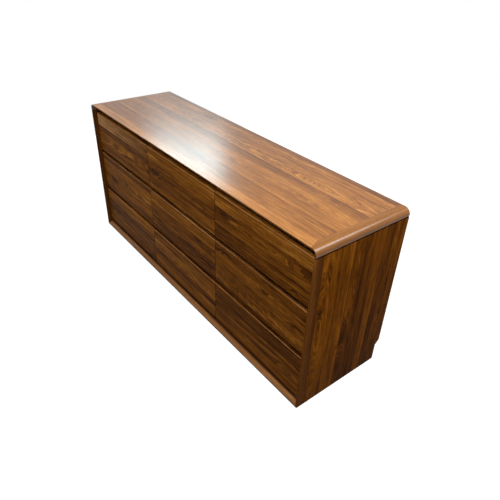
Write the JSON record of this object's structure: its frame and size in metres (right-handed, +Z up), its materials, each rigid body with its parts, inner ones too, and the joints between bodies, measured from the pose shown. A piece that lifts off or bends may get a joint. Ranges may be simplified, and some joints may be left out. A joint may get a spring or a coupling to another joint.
{
  "type": "dresser with drawers",
  "caption": "Low wide dresser with drawers in columns and rows, pulled by the gaps between their fronts, under a top with rounded ends.",
  "frame": {"origin": "on the floor, under the middle of the case's outline in plan", "axes": "+X to the right of someone who faces the drawers, +Y to the back, +Z up; the drawers open along -Y"},
  "size_m": [1.8, 0.49, 0.78],
  "materials": {
    "top_veneer": "satin lacquered walnut veneer, boards along the width",
    "side_veneer": "satin lacquered walnut veneer, boards upright",
    "front_veneer": "satin lacquered walnut veneer, boards along the width",
    "solid_walnut": "satin lacquered solid walnut",
    "box_wood": "clear lacquered pale hardwood",
    "hardwood": "waxed pale hardwood",
    "plywood": "clear lacquered plywood",
    "steel": "zinc plated",
    "nylon": "moulded"
  },
  "bodies": {
    "case": {"top_panel": "top_veneer", "top_lipping": "solid_walnut", "corner_moulding_left": "solid_walnut", "corner_moulding_right": "solid_walnut", "side_panel_left": "side_veneer", "side_panel_right": "side_veneer", "side_stile_left": "solid_walnut", "side_stile_right": "solid_walnut", "bottom_panel": "plywood", "bottom_rail": "solid_walnut", "partition_left": "side_veneer", "partition_right": "side_veneer", "back_panel": "plywood", "top_cross_rails": "side_veneer", "upper_cross_rails": "side_veneer", "lower_cross_rails": "side_veneer", "runners_left": "hardwood", "runners_center": "hardwood", "runners_right": "hardwood", "runner_screws": "steel", "back_screws": "steel", "case_dowels": "hardwood", "glides": "nylon"},
    "drawer_top_left": {"drawer_top_left_front": "front_veneer", "drawer_top_left_sides": "box_wood", "drawer_top_left_back": "box_wood", "drawer_top_left_bottom": "plywood"},
    "drawer_top_center": {"drawer_top_center_front": "front_veneer", "drawer_top_center_sides": "box_wood", "drawer_top_center_back": "box_wood", "drawer_top_center_bottom": "plywood"},
    "drawer_top_right": {"drawer_top_right_front": "front_veneer", "drawer_top_right_sides": "box_wood", "drawer_top_right_back": "box_wood", "drawer_top_right_bottom": "plywood"},
    "drawer_middle_left": {"drawer_middle_left_front": "front_veneer", "drawer_middle_left_sides": "box_wood", "drawer_middle_left_back": "box_wood", "drawer_middle_left_bottom": "plywood"},
    "drawer_middle_center": {"drawer_middle_center_front": "front_veneer", "drawer_middle_center_sides": "box_wood", "drawer_middle_center_back": "box_wood", "drawer_middle_center_bottom": "plywood"},
    "drawer_middle_right": {"drawer_middle_right_front": "front_veneer", "drawer_middle_right_sides": "box_wood", "drawer_middle_right_back": "box_wood", "drawer_middle_right_bottom": "plywood"},
    "drawer_bottom_left": {"drawer_bottom_left_front": "front_veneer", "drawer_bottom_left_sides": "box_wood", "drawer_bottom_left_back": "box_wood", "drawer_bottom_left_bottom": "plywood"},
    "drawer_bottom_center": {"drawer_bottom_center_front": "front_veneer", "drawer_bottom_center_sides": "box_wood", "drawer_bottom_center_back": "box_wood", "drawer_bottom_center_bottom": "plywood"},
    "drawer_bottom_right": {"drawer_bottom_right_front": "front_veneer", "drawer_bottom_right_sides": "box_wood", "drawer_bottom_right_back": "box_wood", "drawer_bottom_right_bottom": "plywood"}
  },
  "joints": [
    {"name": "drawer_top_left_slide", "type": "slide", "parent": "case", "child": "drawer_top_left", "axis": [0, -1, 0], "range_m": [0, 0.3]},
    {"name": "drawer_top_center_slide", "type": "slide", "parent": "case", "child": "drawer_top_center", "axis": [0, -1, 0], "range_m": [0, 0.3]},
    {"name": "drawer_top_right_slide", "type": "slide", "parent": "case", "child": "drawer_top_right", "axis": [0, -1, 0], "range_m": [0, 0.3]},
    {"name": "drawer_middle_left_slide", "type": "slide", "parent": "case", "child": "drawer_middle_left", "axis": [0, -1, 0], "range_m": [0, 0.3]},
    {"name": "drawer_middle_center_slide", "type": "slide", "parent": "case", "child": "drawer_middle_center", "axis": [0, -1, 0], "range_m": [0, 0.3]},
    {"name": "drawer_middle_right_slide", "type": "slide", "parent": "case", "child": "drawer_middle_right", "axis": [0, -1, 0], "range_m": [0, 0.3]},
    {"name": "drawer_bottom_left_slide", "type": "slide", "parent": "case", "child": "drawer_bottom_left", "axis": [0, -1, 0], "range_m": [0, 0.3]},
    {"name": "drawer_bottom_center_slide", "type": "slide", "parent": "case", "child": "drawer_bottom_center", "axis": [0, -1, 0], "range_m": [0, 0.3]},
    {"name": "drawer_bottom_right_slide", "type": "slide", "parent": "case", "child": "drawer_bottom_right", "axis": [0, -1, 0], "range_m": [0, 0.3]}
  ]
}
